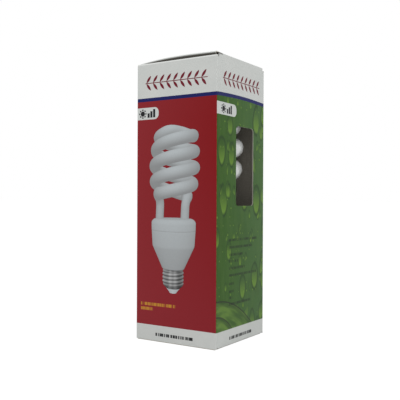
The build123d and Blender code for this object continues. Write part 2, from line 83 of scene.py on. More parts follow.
RIDGE_SHADE_FROM = HEIGHT + 0.4 * MM                  # and painted shade on the ridge's front corner above this
RIM_DEPTH = 1.2 * MM                            # of the painted highlight along the front panel's cut edge

# The lamp in the carton
LAMP_TURN = Matrix.Rotation(radians(29), 3, "Z")    # one leg of the tube is this far round from +X
LAMP_FOOT = 1.06            # mm from the carton's underside to the tip of the lamp's contact

# Light
WORLD_LIGHT = 0.56
LIGHT_AIM = (0, 0, 0.1)
KEY_AT = (-0.2, -0.64, 0.74)
SIDE_AT = (0.64, -0.08, 0.72)
LIGHT_SIZE = 0.6
LIGHT_POWER = 3.1
FLOOR_GREY = 0.8
FLOOR_GLOW = 1.1            # strength of its white
FLOOR_SHARE = 0.86          # of that white in what the camera sees; the rest keeps the shadow
FLOOR_REACH = 30.0
FLOOR_DROP = 0.05 * MM      # keeps the floor clear of the carton's underside


def srgb(r, g, b):
    """Linear colour from 0 to 255 display values."""
    def linear(c):
        c /= 255
        return c / 12.92 if c <= 0.04045 else ((c + 0.055) / 1.055) ** 2.4
    return (linear(r), linear(g), linear(b), 1.0)


# Shader building

class Shader:
    """A material's node tree, with short calls for the sums that a printed surface needs."""

    def __init__(self, name):
        self.material = bpy.data.materials.new(name)
        self.material.use_nodes = True
        self.tree = self.material.node_tree
        self.tree.nodes.clear()
        self.output = self.node("ShaderNodeOutputMaterial")
        self.surface = self.node("ShaderNodeBsdfPrincipled")
        self.tree.links.new(self.surface.outputs["BSDF"], self.output.inputs["Surface"])

    def node(self, kind, **settings):
        made = self.tree.nodes.new(kind)
        for name, value in settings.items():
            setattr(made, name, value)
        return made

    def put(self, value, socket):
        """Sets a socket to a value, or links another node's output to it."""
        if isinstance(value, bpy.types.NodeSocket):
            self.tree.links.new(value, socket)
        else:
            socket.default_value = value

    def set(self, **inputs):
        """Sets the Principled shader's inputs, with _ for a space in their names."""
        for name, value in inputs.items():
            self.put(value, self.surface.inputs[name.replace("_", " ")])

    def math(self, operation, *values):
        made = self.node("ShaderNodeMath", operation=operation)
        for value, socket in zip(values, made.inputs):
            self.put(value, socket)
        return made.outputs[0]

    def add(self, a, b):
        return self.math("ADD", a, b)

    def sub(self, a, b):
        return self.math("SUBTRACT", a, b)

    def mul(self, a, b):
        return self.math("MULTIPLY", a, b)

    def above(self, value, edge, soft=0.06 * MM):
        """0 below an edge and 1 above it, with a soft step."""
        made = self.node("ShaderNodeMapRange", clamp=True)
        self.put(value, made.inputs["Value"])
        if isinstance(edge, bpy.types.NodeSocket):
            self.put(self.sub(edge, soft / 2), made.inputs["From Min"])
            self.put(self.add(edge, soft / 2), made.inputs["From Max"])
        else:
            made.inputs["From Min"].default_value = edge - soft / 2
            made.inputs["From Max"].default_value = edge + soft / 2
        return made.outputs[0]

    def below(self, value, edge, soft=0.06 * MM):
        return self.sub(1.0, self.above(value, edge, soft))

    def within(self, value, low, high, soft=0.06 * MM):
        return self.mul(self.above(value, low, soft), self.below(value, high, soft))

    def span(self, value, low, high, to_low=0.0, to_high=1.0):
        """A value's range stretched to another range, clamped."""
        made = self.node("ShaderNodeMapRange", clamp=True)
        self.put(value, made.inputs["Value"])
        for name, number in zip(("From Min", "From Max", "To Min", "To Max"), (low, high, to_low, to_high)):
            self.put(number, made.inputs[name])
        return made.outputs[0]

    def mix(self, share, a, b):
        made = self.node("ShaderNodeMix", data_type="RGBA")
        self.put(share, made.inputs["Factor"])
        self.put(a, made.inputs["A"])
        self.put(b, made.inputs["B"])
        return made.outputs["Result"]

    def split(self, vector):
        made = self.node("ShaderNodeSeparateXYZ")
        self.put(vector, made.inputs[0])
        return made.outputs

    def join(self, x, y, z=0.0):
        made = self.node("ShaderNodeCombineXYZ")
        for value, socket in zip((x, y, z), made.inputs):
            self.put(value, socket)
        return made.outputs[0]

    def object_space(self):
        """(position, normal) in the object's own space, which a pose doesn't change."""
        made = self.node("ShaderNodeTexCoord")
        return made.outputs["Object"], made.outputs["Normal"]

    def noise(self, vector, scale, detail=2.0, roughness=0.5):
        made = self.node("ShaderNodeTexNoise")
        self.put(vector, made.inputs["Vector"])
        self.put(scale, made.inputs["Scale"])
        self.put(detail, made.inputs["Detail"])
        self.put(roughness, made.inputs["Roughness"])
        return made.outputs[0]

    def cells(self, vector, scale, randomness):
        """Voronoi cells, each with a random place and colour of its own."""
        made = self.node("ShaderNodeTexVoronoi", feature="F1")
        self.put(vector, made.inputs["Vector"])
        self.put(scale, made.inputs["Scale"])
        self.put(randomness, made.inputs["Randomness"])
        return made

    def bump(self, height, strength, distance):
        made = self.node("ShaderNodeBump")
        made.inputs["Strength"].default_value = strength
        made.inputs["Distance"].default_value = distance
        self.put(height, made.inputs["Height"])
        self.put(made.outputs[0], self.surface.inputs["Normal"])

    def rounded_box(self, u, v, centre, half_size, radius):
        """1 inside a rounded rectangle."""
        q = []
        for value, middle, half in zip((u, v), centre, half_size):
            q.append(self.sub(self.math("ABSOLUTE", self.sub(value, middle)), half - radius))
        out = [self.math("MAXIMUM", value, 0.0) for value in q]
        reach = self.math("SQRT", self.add(self.mul(out[0], out[0]), self.mul(out[1], out[1])))
        inner = self.math("MINIMUM", self.math("MAXIMUM", *q), 0.0)
        return self.below(self.add(reach, inner), radius, 0.12 * MM)


def plain(name, colour, roughness=0.5, metallic=0.0, grain=0.0, coat=0.0, variation=0.06):
    """Finish of a moulded or metal piece: a little mottling in colour, and grain in its surface."""
    s = Shader(name)
    place, _ = s.object_space()
    cloud = s.noise(place, 140.0, 3.0)
    darker = tuple(c * (1 - variation * 2) for c in colour[:3]) + (1.0,)
    s.set(Base_Color=s.mix(cloud, darker, colour), Metallic=metallic)
    mottling = s.noise(place, 420.0, 2.0)
    s.set(Roughness=s.span(mottling, 0.3, 0.7, roughness * 0.88, min(1.0, roughness * 1.12)))
    s.surface.inputs["Coat Weight"].default_value = coat
    s.surface.inputs["Coat Roughness"].default_value = 0.12
    if grain:
        s.bump(s.noise(place, 900.0, 2.0), grain, 0.1 * MM)
    return s.material


def glass_material():
    """White phosphor behind clear glass."""
    s = Shader("phosphor_glass")
    place, _ = s.object_space()
    powder = s.noise(place, 260.0, 4.0, 0.6)
    s.set(Base_Color=s.mix(powder, srgb(190, 193, 192), srgb(199, 201, 199)))
    s.set(Roughness=s.span(powder, 0.3, 0.7, 0.42, 0.5))
    s.surface.inputs["Coat Weight"].default_value = 0.9
    s.surface.inputs["Coat Roughness"].default_value = 0.04
    s.bump(s.noise(place, 60.0, 2.0), 0.06, 0.1 * MM)
    return s.material


def metal_material(name, colour):
    """Plated sheet with fine marks drawn round it."""
    s = Shader(name)
    place, _ = s.object_space()
    x, y, z = s.split(place)
    marks = s.noise(s.join(s.mul(x, 0.4), s.mul(y, 0.4), s.mul(z, 9.0)), 700.0, 2.0)
    tarnish = s.noise(place, 180.0, 3.0)
    darker = tuple(c * 0.82 for c in colour[:3]) + (1.0,)
    s.set(Base_Color=s.mix(s.span(tarnish, 0.35, 0.75), colour, darker))
    s.set(Metallic=1.0, Roughness=s.span(marks, 0.3, 0.7, 0.2, 0.34))
    s.bump(marks, 0.12, 0.05 * MM)
    return s.material


# Card and print

CARD_WHITE = srgb(195, 198, 195)
CARD_RAW = srgb(200, 196, 186)      # cut edge
PRINT_BLACK = srgb(30, 30, 32)
# Painted shade, for the slot below the top lid's bend and the ridge's front corner
PAINTED_SHADE = srgb(72, 70, 65)
# Painted highlight along the front panel's cut edge
RIM_HIGHLIGHT = srgb(222, 224, 221)
CARD_GLOSS = 0.1                    # the coating shines only a little
FACE_STEP = 0.02 * MM               # how sharply one face of the card gives way to the other


def coated_white(s, place):
    """White of the coated board, a little uneven."""
    return s.mix(s.span(s.noise(place, 60.0, 2.0), 0.3, 0.7), srgb(193, 196, 193), srgb(198, 200, 197))


def card_liner(s, place):
    """Uncoated inner face: grey-brown pulp with fibres and flecks."""
    fibres = s.noise(place, 1500.0, 3.0, 0.6)
    blotches = s.noise(place, 90.0, 2.0)
    low = s.mix(blotches, srgb(166, 160, 148), srgb(182, 176, 164))
    return s.mix(s.span(fibres, 0.35, 0.7), low, srgb(190, 185, 174))


def card_surface(s, place, outside):
    """Sheen and fine relief of coated board outside, and of raw pulp inside."""
    s.set(Roughness=s.sub(0.8, s.mul(outside, s.span(s.noise(place, 240.0, 2.0), 0.3, 0.7, 0.36, 0.44))))
    s.surface.inputs["Specular IOR Level"].default_value = CARD_GLOSS
    fibre = s.noise(place, 1100.0, 3.0, 0.6)
    slow = s.noise(place, 28.0, 1.0)
    s.bump(s.add(s.mul(fibre, 0.12), s.mul(slow, 1.6)), 0.25, 0.25 * MM)


def light_sign(s, u, v, centre):
    """Plain sign for light: a rayed disc, and three bars that grow."""
    disc_left = 4.0 * MM        # the disc's middle is this far left of the sign's
    disc_radius = 1.9 * MM
    rays = 8.0
    ray_ends = (2.3 * MM, 3.3 * MM)
    bars = (3.2 * MM, 4.6 * MM, 6.0 * MM)
    bar_right = 0.3 * MM        # the first bar begins this far right of the sign's middle
    bar_width = 1.9 * MM
    bar_pitch = 2.5 * MM
    cu, cv = centre
    foot = cv - 3.0 * MM
    du = s.sub(u, cu - disc_left)
    dv = s.sub(v, cv)
    reach = s.math("SQRT", s.add(s.mul(du, du), s.mul(dv, dv)))
    disc = s.below(reach, disc_radius, 0.15 * MM)
    spokes = s.above(s.math("COSINE", s.mul(s.math("ARCTAN2", dv, du), rays)), -0.2, 0.3)
    sign = s.math("MAXIMUM", disc, s.mul(spokes, s.within(reach, *ray_ends, 0.15 * MM)))
    for i, tall in enumerate(bars):
        left = cu + bar_right + bar_pitch * i
        bar = s.mul(s.within(u, left, left + bar_width), s.within(v, foot, foot + tall))
        sign = s.math("MAXIMUM", sign, bar)
    return sign


def laurel(s, u, v, low, high, level):
    """Branch of paired leaves, the plain ornament of the white band."""
    pitch = 5.9 * MM
    lean = radians(52)
    half_long = 3.3 * MM
    half_wide = 1.0 * MM
    along = s.mul(s.sub(s.math("FRACT", s.mul(s.sub(u, low), 1 / pitch)), 0.5), pitch)
    up = s.sub(s.math("ABSOLUTE", s.sub(v, level)), 2.75 * MM)
    p = s.add(s.mul(along, cos(lean)), s.mul(up, sin(lean)))
    q = s.math("ABSOLUTE", s.sub(s.mul(up, cos(lean)), s.mul(along, sin(lean))))
    taper = s.mul(s.mul(p, p), half_wide / half_long ** 2)
    leaf = s.below(s.add(q, taper), half_wide, 0.15 * MM)
    stem = s.within(v, level - 0.3 * MM, level + 0.3 * MM)
    return s.mul(s.math("MAXIMUM", leaf, stem), s.within(u, low, high))


def small_print(s, u, v, ends, level, tall):
    """Line of small marks, as print too small to read."""
    marks = s.noise(s.join(u, level * 9), 1150.0, 1.0)
    inked = s.mul(s.within(v, level - tall / 2, level + tall / 2, 0.2 * MM), s.above(marks, 0.44, 0.12))
    return s.mul(inked, s.within(u, *ends))


def lines_of_print(s, u, v, lines, tall):
    """Several lines of small marks."""
    made = 0.0
    for level, left, right in lines:
        line = small_print(s, u, v, (left * MM, right * MM), level * MM, tall)
        made = s.math("MAXIMUM", made, line)
    return made


# Lines of small marks: level, left end, right end in mm
FRONT_LINES = ((26.4, 4.4, 34.6), (23.0, 4.4, 15.0))
SIDE_LINES = (
    (73.5, 17.0, 58.0), (68.4, 17.0, 50.0), (63.2, 17.0, 36.5), (58.6, 17.0, 29.5), (53.7, 17.0, 39.5),
    (48.8, 17.0, 56.5), (43.0, 17.0, 24.0), (37.6, 17.0, 24.0), (33.2, 17.0, 22.5), (28.8, 17.0, 48.0),
)


def with_tab(s, field, u, v, tab, sign):
    """A field of colour with its white tab and the sign on it."""
    centre, half_width, level, half_height = tab
    on_tab = s.rounded_box(u, v, (centre, level), (half_width, half_height), TAB_CORNER)
    return s.mix(light_sign(s, u, v, (sign, level)), s.mix(on_tab, field, CARD_WHITE), PRINT_BLACK)


def front_field(s, u, v):
    """Red field with a painted sheen, lighter to the left and lower down and deeper towards the right, with
    its tab and two short lines.
    """
    drift = s.noise(s.join(u, v), 14.0, 1.0)
    # Painted sheen: the red is lighter on the left and lower down, deeper towards the right
    across = s.add(s.span(u, 0.0, 2 * HALF), s.mul(s.sub(drift, 0.5), 0.3))
    upper = s.mix(across, srgb(131, 36, 41), srgb(124, 17, 22))
    lower = s.mix(across, srgb(132, 38, 44), srgb(128, 30, 37))
    red = s.mix(s.span(v, 20 * MM, 130 * MM), lower, upper)
    red = s.mix(s.mul(lines_of_print(s, u, v, FRONT_LINES, SMALL_PRINT), 0.8), red, srgb(190, 138, 48))
    return with_tab(s, red, u, v, FRONT_TAB, FRONT_SIGN)


def drops(s, green, u, v, pitch, tall, size, share, seed):
    """Water drops on the leaf: dark round the rim, bright below, a share of the cells holding one."""
    cu = s.add(s.mul(u, 1 / pitch), seed)
    cv = s.add(s.mul(v, 1 / (pitch * tall)), seed * 7)
    cell = s.cells(s.join(cu, cv), 1.0, 0.7)
    centre = s.split(cell.outputs["Position"])
    chance = s.split(cell.outputs["Color"])
    du = s.sub(cu, centre[0])
    dv = s.sub(cv, centre[1])
    radius = s.mul(s.span(chance[0], 0.0, 1.0, 0.5 * size, size), s.above(chance[1], 1 - share, 0.01))
    height = s.math("DIVIDE", dv, s.add(radius, 0.001))
    narrow = s.add(1.1, s.mul(height, s.span(chance[2], 0.0, 1.0, -0.3, 0.35)))
    sideways = s.mul(du, narrow)
    reach = s.math("SQRT", s.add(s.mul(sideways, sideways), s.mul(dv, dv)))
    inside = s.above(s.sub(radius, reach), 0.02, 0.05)
    core_share = 0.74           # of the radius; the rest is the dark rim
    core = s.above(s.sub(s.mul(radius, core_share), reach), 0.0, 0.08)
    green = s.mix(s.mul(inside, s.sub(0.75, s.mul(core, 0.6))), green, srgb(30, 56, 22))
    low = s.span(height, -0.7, 0.5, 0.85, 0.0)
    return s.mix(s.mul(s.mul(inside, core), low), green, srgb(104, 140, 48))


DROP_LAYERS = (                 # pitch, height to width, size in a pitch, share of cells, seed
    (4.6 * MM, 1.3, 0.3, 0.2, 8.37), (8.5 * MM, 1.9, 0.38, 0.25, 3.71), (16 * MM, 1.8, 0.45, 0.7, 0.13),
)


def leaf_edge(s, u, top, reach, drop):
    """Height of a lower leaf's edge, bending down to the right."""
    bend = s.math("POWER", s.math("MAXIMUM", s.mul(u, 1 / (reach * MM)), 0.0), 2.07)
    return s.sub(top * MM, s.mul(bend, drop * MM))


def side_field(s, u, v):
    """Green field: wet leaf with drops and streaks, two lower leaves, tab and lines of small marks."""
    streaks = s.noise(s.join(s.mul(u, 4.0), s.mul(v, 0.6)), 60.0, 3.0, 0.55)
    green = s.mix(s.span(u, 0.0, 2 * HALF), srgb(46, 82, 16), srgb(62, 96, 50))
    green = s.mix(s.span(streaks, 0.4, 0.75, 0.0, 0.4), green, srgb(74, 104, 44))
    green = s.mix(s.span(s.noise(s.join(u, v), 40.0, 2.0), 0.5, 0.8, 0.0, 0.5), green, srgb(46, 76, 24))
    for layer in DROP_LAYERS:
        green = drops(s, green, u, v, *layer)
    # Each lower leaf: dark edge, then soft bands that follow it
    for top, reach, drop in LOWER_LEAVES:
        edge = leaf_edge(s, u, top, reach, drop)
        ribs = s.noise(s.join(s.mul(s.sub(v, edge), 3.2), s.mul(u, 0.8)), 60.0, 2.0, 0.5)
        leaf = s.mix(s.span(ribs, 0.38, 0.62), srgb(54, 86, 32), srgb(90, 122, 50))
        shade = s.within(s.sub(v, edge), -3.0 * MM, 0.0, 1.2 * MM)
        green = s.mix(s.below(v, edge, 0.3 * MM), green, leaf)
        green = s.mix(s.mul(shade, 0.35), green, srgb(40, 62, 28))
        outline = s.within(s.sub(v, edge), -0.2 * MM, 0.9 * MM, 0.3 * MM)
        green = s.mix(s.mul(outline, 0.8), green, srgb(34, 40, 26))
    green = s.mix(s.mul(lines_of_print(s, u, v, SIDE_LINES, SIDE_PRINT), 0.75), green, srgb(24, 38, 20))
    return with_tab(s, green, u, v, SIDE_TAB, SIDE_SIGN)


def printed_card():
    """Coated board printed on all four panels, bare at its cut edges and grey-brown inside."""
    s = Shader("printed_card")
    place, normal = s.object_space()
    x, y, z = s.split(place)
    nx, _, nz = s.split(normal)
    ax, ay = s.math("ABSOLUTE", x), s.math("ABSOLUTE", y)
    on_front = s.above(s.sub(ay, ax), 0.0, 0.08 * MM)
    on_side = s.sub(1.0, on_front)
    u_front = s.sub(HALF, s.mul(x, s.math("SIGN", y)))
    u_side = s.add(HALF, s.mul(y, s.math("SIGN", x)))

    field = s.mix(on_front, side_field(s, u_side, z), front_field(s, u_front, z))
    share = s.mul(u_side, 1 / (2 * HALF))
    bow = s.mul(s.mul(share, s.sub(1.0, share)), 4 * SIDE_BAND_LIFT)
    band_level = s.sub(z, s.mul(on_side, bow))
    bands = s.math("MAXIMUM", s.above(band_level, BAND_TOP), s.below(z, BAND_LOW))
    print_colour = s.mix(bands, field, coated_white(s, place))
    stripe = s.within(band_level, STRIPE_LOW, BAND_TOP)
    print_colour = s.mix(stripe, print_colour, srgb(22, 27, 86))

    u = s.add(s.mul(on_front, u_front), s.mul(on_side, u_side))
    branch = laurel(s, u, z, *LAUREL_ENDS, LAUREL_LEVEL)
    print_colour = s.mix(branch, print_colour, srgb(104, 20, 36))
    foot = small_print(s, u, z, *BAND_PRINT, SMALL_PRINT)
    print_colour = s.mix(foot, print_colour, PRINT_BLACK)

    # The ink is a little thin where the sheet is bent
    from_fold = s.math("MAXIMUM", s.sub(HALF, ax), s.sub(HALF, ay))
    rub = s.mul(s.below(from_fold, 0.4 * MM, 0.5 * MM), s.above(s.noise(place, 330.0, 4.0, 0.7), 0.52, 0.3))
    print_colour = s.mix(s.mul(rub, 0.1), print_colour, CARD_WHITE)

    # Painted shade on the ridge beside the lid, at the carton's front corner
    corner = s.mul(s.above(z, RIDGE_SHADE_FROM, 0.3 * MM), s.below(y, -27.0 * MM, 1.5 * MM))
    print_colour = s.mix(s.mul(corner, 0.85), print_colour, PAINTED_SHADE)

    # Painted highlight along the cut edge that the top lid's tongue is behind
    rim = s.mul(s.mul(on_front, s.below(y, 0.0)), s.above(z, HEIGHT - RIM_DEPTH, 0.3 * MM))
    print_colour = s.mix(rim, print_colour, RIM_HIGHLIGHT)

    # Outer face, liner or cut edge
    farthest = s.math("MAXIMUM", ax, ay)
    flap_mid = FLAP_LEVEL + BOARD / 2
    outer_flap = s.math("MAXIMUM", s.above(z, HEIGHT - flap_mid, FACE_STEP), s.below(z, flap_mid, FACE_STEP))
    outside = s.math("MAXIMUM", s.above(farthest, WALL_MID, FACE_STEP), outer_flap)
    colour = s.mix(outside, card_liner(s, place), print_colour)
    in_wall = s.above(farthest, HALF - BOARD - 0.01 * MM, 0.01 * MM)
    level = s.above(s.math("ABSOLUTE", nz), 0.9, 0.05)
    window_edge = s.mul(on_side, s.below(s.math("ABSOLUTE", nx), 0.3, 0.1))
    window_edge = s.mul(window_edge, s.within(z, *WINDOW_SPAN))
    cut = s.mul(in_wall, s.math("MAXIMUM", window_edge, s.mul(level, on_front)))
    s.set(Base_Color=s.mix(cut, colour, CARD_RAW))
    card_surface(s, place, outside)
    return s.material


def lid_card():
    """Coated white board, grey-brown inside, bare at its edges, with painted shade below the top lid's bend.
    """
    s = Shader("white_card")
    place, normal = s.object_space()
    _, y, z = s.split(place)
    nx, ny, nz = s.split(normal)
    up = s.sub(s.mul(s.above(z, HEIGHT / 2), 2.0), 1.0)
    outside = s.above(s.sub(s.mul(nz, up), s.mul(ny, up)), 0.0, 0.05)
    edge = s.above(s.math("ABSOLUTE", nx), 0.7, 0.1)
    # Painted shade in the slot below the top lid's bend, darkest where the bend faces down
    slot = s.mul(s.above(z, SLOT_SHADE_FROM, 0.5 * MM), s.below(y, -33 * MM, 0.3 * MM))
    slot_shade = s.mul(slot, s.span(nz, -0.1, 0.55, 1.0, 0.0))
    white = s.mix(slot_shade, coated_white(s, place), PAINTED_SHADE)
    colour = s.mix(outside, card_liner(s, place), white)
    s.set(Base_Color=s.mix(edge, colour, CARD_RAW))
    card_surface(s, place, outside)
    return s.material


def dress(node, material):
    """Gives a carried-over piece its finish."""
    slots = nodes[node].data.materials
    slots.clear()
    slots.append(material)


# Lamp form, in millimetres with the lamp's axis as Z and the tip of its contact at the origin

TUBE_R = 6.9
LEG_R = 5.5
LEG_OFFSET = 15.5
LEG_STRAIGHT = (65.0, 78.0, 81.0)       # heights of the control points in its straight part
LEG_NECK = (84.0, 89.5)     # where a leg swells to the tube's full width
LEG_BEND = ((15.5, 0.0, -8.6), (17.0, 3.0, -3.1), (18.3, 8.5, 1.1))     # heights are over the helix's base
HELIX_FROM = 50             # angle past its leg at which a strand is on the helix
HELIX_STEP = 29.4           # between two control points
BRIDGE_ANGLES = (45, 90, 135)
CAP_CREST_R = 13.1
CAP_ROOT_R = 12.15
CAP_PITCH = 3.62
CAP_SKIN = 0.35
CAP_LIP = (8.6, 5.2)        # radius, height
CAP_SHOULDER = 8.3
CAP_TOP = 25.0
CAP_THREAD_FROM = 9.9       # height of the thread's crest on the side of +X
CAP_THREADED = (8.4, 23.6)
THREAD_FADE = 2.0           # length over which the thread runs out at either end


def polar(radius, degrees, z=0.0):
    return Vector((radius * cos(radians(degrees)), radius * sin(radians(degrees)), z))


def smooth_line(controls, per_span):
    """Curve through the middles of the control points' spans, tangent to each span there."""
    middles = [(a + b) / 2 for a, b in zip(controls, controls[1:])]
    middles[0], middles[-1] = controls[0], controls[-1]
    line = [controls[0]]
    for start, corner, end in zip(middles, controls[1:-1], middles[1:]):
        for i in range(1, per_span + 1):
            t = i / per_span
            line.append((1 - t) ** 2 * start + 2 * t * (1 - t) * corner + t ** 2 * end)
    return line


class Spiral:
    """Two-start spiral tube: its legs, its turns, and the bridge where the strands join over the axis."""

    def __init__(self, base, pitch, end, top, knee=0.0, late=0.0, radius=23.2, swell=1.9):
        self.base = base        # height of a strand, run back to its own leg
        self.pitch = pitch      # rise of one strand in a turn
        self.end = end          # angle past its leg at which a strand leaves the helix
        self.top = top          # height of the centre line over the axis
        self.knee = knee        # how much higher the legs bend
        self.late = late        # share of the bridge's rise that comes late
        self.radius = radius
        self.swell = swell      # the middle turns are this much wider

    def helix_point(self, angle):
        share = (angle - HELIX_FROM) / (self.end - HELIX_FROM)
        radius = self.radius + self.swell * sin(pi * share) ** 2
        return polar(radius, angle, self.base + self.pitch * angle / 360)

    def strand(self):
        """Control points from the foot of a leg to the last one before the axis."""
        points = [Vector((LEG_OFFSET, 0, z)) for z in (*LEG_STRAIGHT, *LEG_NECK)]
        bend = [Vector((x, y, self.base + self.knee + z)) for x, y, z in LEG_BEND]
        points += [point for point in bend if point.z > LEG_NECK[1] + 1]
        steps = round((self.end - HELIX_FROM) / HELIX_STEP)
        step = (self.end - HELIX_FROM) / steps
        points += [self.helix_point(HELIX_FROM + i * step) for i in range(steps + 1)]
        start = points[-1].z
        middle = polar(self.radius / 2, self.end)
        for angle in BRIDGE_ANGLES:
            share = angle / BRIDGE_ANGLES[-1]
            rise = (1 - self.late) * sin(radians(90 * share)) + self.late * share ** 2
            height = start + (self.top - start) * rise
            points.append(middle + polar(self.radius / 2, self.end + angle, height))
        return points

    def line(self, per_span):
        """Smooth centre line from foot to foot."""
        strand = self.strand()
        twin = [Vector((-p.x, -p.y, p.z)) for p in reversed(strand)]
        return smooth_line(strand + twin, per_span)


def swelling(leg, turn, neck):
    """Tube radius by height: a leg is narrower than the turns and swells between the neck's heights."""
    def radius(point):
        share = min(1.0, max(0.0, (point.z - neck[0]) / (neck[1] - neck[0])))
        return leg + (turn - leg) * share * share * (3 - 2 * share)
    return radius


def rolled_thread(z, degrees):
    """How far the cap's right-handed round thread stands over its root, fading out at both ends."""
    low, high = CAP_THREADED
    fade = min(1.0, max(0.0, min(z - low, high - z) / THREAD_FADE))
    wave = 0.5 + 0.5 * cos(2 * pi * ((z - CAP_THREAD_FROM) / CAP_PITCH - degrees / 360))
    return (CAP_CREST_R - CAP_ROOT_R) * wave * fade


def cap_outline(steps_per_pitch):
    """Half section of the cap's outer face without its thread, from lip to top."""
    low, high = CAP_THREADED
    steps = round((high - low) / CAP_PITCH * steps_per_pitch)
    threaded = [(CAP_ROOT_R, low + (high - low) * i / steps) for i in range(steps + 1)]
    return [CAP_LIP, (CAP_ROOT_R - 0.3, CAP_SHOULDER - 0.4), *threaded, (CAP_ROOT_R, CAP_TOP)]


class Form:
    """Points, their outward normals, their parts' names and the faces of closed surfaces."""

    def __init__(self):
        self.points = []
        self.normals = []
        self.parts = []
        self.faces = []

    def grid(self, rings, normals, part, looped=False):
        """Joins rings of points, each closed on itself. The row is looped or has flat ends."""
        start = len(self.points)
        sides = len(rings[0])
        for ring, ring_normals in zip(rings, normals):
            self.points += ring
            self.normals += ring_normals
            self.parts += [part] * sides
        for r in range(len(rings) if looped else len(rings) - 1):
            low = start + r * sides
            high = start + (r + 1) % len(rings) * sides
            for k in range(sides):
                after = (k + 1) % sides
                self.faces.append((low + k, low + after, high + after, high + k))
        if not looped:
            self.faces.append(tuple(start + k for k in reversed(range(sides))))
            self.faces.append(tuple(start + (len(rings) - 1) * sides + k for k in range(sides)))

    def sweep(self, line, sides, radius, part=""):
        """Round tube along a line, in frames that don't twist."""
        along = (line[1] - line[0]).normalized()
        across = along.orthogonal().normalized()
        rings, normals = [], []
        for before, point, after in zip(line[:1] + line, line, line[1:] + line[-1:]):
            heading = (after - before).normalized()
            across = along.rotation_difference(heading) @ across
            across = (across - across.dot(heading) * heading).normalized()
            along = heading
            side = heading.cross(across)
            turns = [2 * pi * k / sides for k in range(sides)]
            around = [cos(turn) * across + sin(turn) * side for turn in turns]
            rings.append([point + radius(point) * way for way in around])
            normals.append(around)
        self.grid(rings, normals, part)

    def revolve(self, outline, sides, part="", lift=None, looped=False):
        """Surface of revolution; lift(z, degrees) is added to its radius."""
        rings, normals = [], []
        angles = [360 * k / sides for k in range(sides)]
        for before, (r, z), after in zip(outline[:1] + outline, outline, outline[1:] + outline[-1:]):
            slope = Vector((after[1] - before[1], before[0] - after[0])).normalized()
            rings.append([polar(max(r, 0.01) + (lift(z, a) if lift else 0), a, z) for a in angles])
            normals.append([polar(slope.x, a, slope.y) for a in angles])
        self.grid(rings, normals, part, looped)


def mesh_piece(name, form, place, smooth=True):
    """New object from a form, each of its points put where place() says."""
    mesh = bpy.data.meshes.new(name)
    mesh.from_pydata([place(p) for p in form.points], [], form.faces)
    mesh.polygons.foreach_set("use_smooth", [smooth] * len(mesh.polygons))
    mesh.update()
    piece = bpy.data.objects.new(name, mesh)
    bpy.context.scene.collection.objects.link(piece)
    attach(piece, CARTON)
    return piece


def in_carton(p):
    """From the lamp's own millimetres to where it stands in the carton."""
    return (LAMP_TURN @ p + Vector((0, 0, LAMP_FOOT))) * MM


def real_tube():
    """Glass tube with a smooth centre line, in place of the solid."""
    form = Form()
    spiral = Spiral(base=106.9, pitch=32.4, end=580, top=162.2)
    form.sweep(spiral.line(6), 40, swelling(LEG_R, TUBE_R, LEG_NECK))
    tube = mesh_piece("spiral_tube", form, in_carton)
    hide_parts("discharge_tube")
    tube.data.materials.append(glass_material())


def real_cap():
    """Thin cap with its rolled thread fading out at both ends, in place of the solid."""
    outer = cap_outline(14)
    inner = [(r - CAP_SKIN, z) for r, z in reversed(outer)]
    form = Form()
    form.revolve(outer + inner, 96, lift=rolled_thread, looped=True)
    cap = mesh_piece("rolled_cap", form, in_carton)
    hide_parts("screw_shell")
    cap.data.materials.append(metal_material("cap_metal", srgb(190, 188, 182)))


# Printed picture of the lamp

PICTURE_SCALE = 1 / 1.44        # of the real lamp's size
PICTURE_AXIS = -1.5             # mm right of the panel's middle
PICTURE_TIP = 36.15             # mm over the carton's underside
PICTURE_EYE = (380.0, 92.0)     # the lamp is seen from this far in front of its axis, at this height
INK_FILM = 0.06                 # mm that the picture's middle lies off the card
INK_RELIEF = 0.001              # of the lamp's depth that is left in the picture
PICTURED_LEAN = radians(2.6)    # of the tube to the right, about a point at the height below
LEAN_LEVEL = 108.0
PICTURED_TUBE = swelling(5.0, 6.3, (92.5, 98.0))
TUBE_REACH = 31.0               # half the spiral's width
PICTURED_SEAM = 63.3
HOUSING = (                 # radius, height: cone, cup, seam, cover with its rounded rim, top plate
    (11.5, 25.0), (13.65, 25.0), (25.85, 47.6), (27.05, 63.0), (26.7, 63.1), (26.7, 63.5), (27.1, 63.6),
    (27.3, 70.6), (26.8, 72.2), (25.6, 73.5), (24.0, 74.5), (22.3, 75.0), (12.0, 75.4), (0.0, 75.6),
)
TIP = ((0.0, 0.0), (4.2, 0.1), (4.8, 1.1), (8.6, 5.2))      # contact and insulator, as one
INK_DARKEST = 138           # grey of the lamp's shaded sides
INK_SPAN = 48               # from there to its lit sides
SEAM_SHADE = 0.35
CAP_RELIEF = 54             # how much the thread's slopes differ in grey
CONE_SHADE = 50             # darker by this under the cone's rim

# Grey round the cap, by how far its surface is turned to the right
CAP_BANDS = ((-1.0, 128), (-0.6, 115), (-0.42, 112), (-0.28, 152), (-0.1, 134), (0.0, 122), (0.12, 142),
             (0.22, 138), (0.34, 112), (0.45, 90), (0.62, 86), (0.8, 100), (1.0, 105))


def between(pairs, x):
    """Value at x on straight lines between pairs."""
    for (x0, y0), (x1, y1) in zip(pairs, pairs[1:]):
        if x <= x1:
            return y0 + (y1 - y0) * (x - x0) / (x1 - x0)
    return pairs[-1][1]


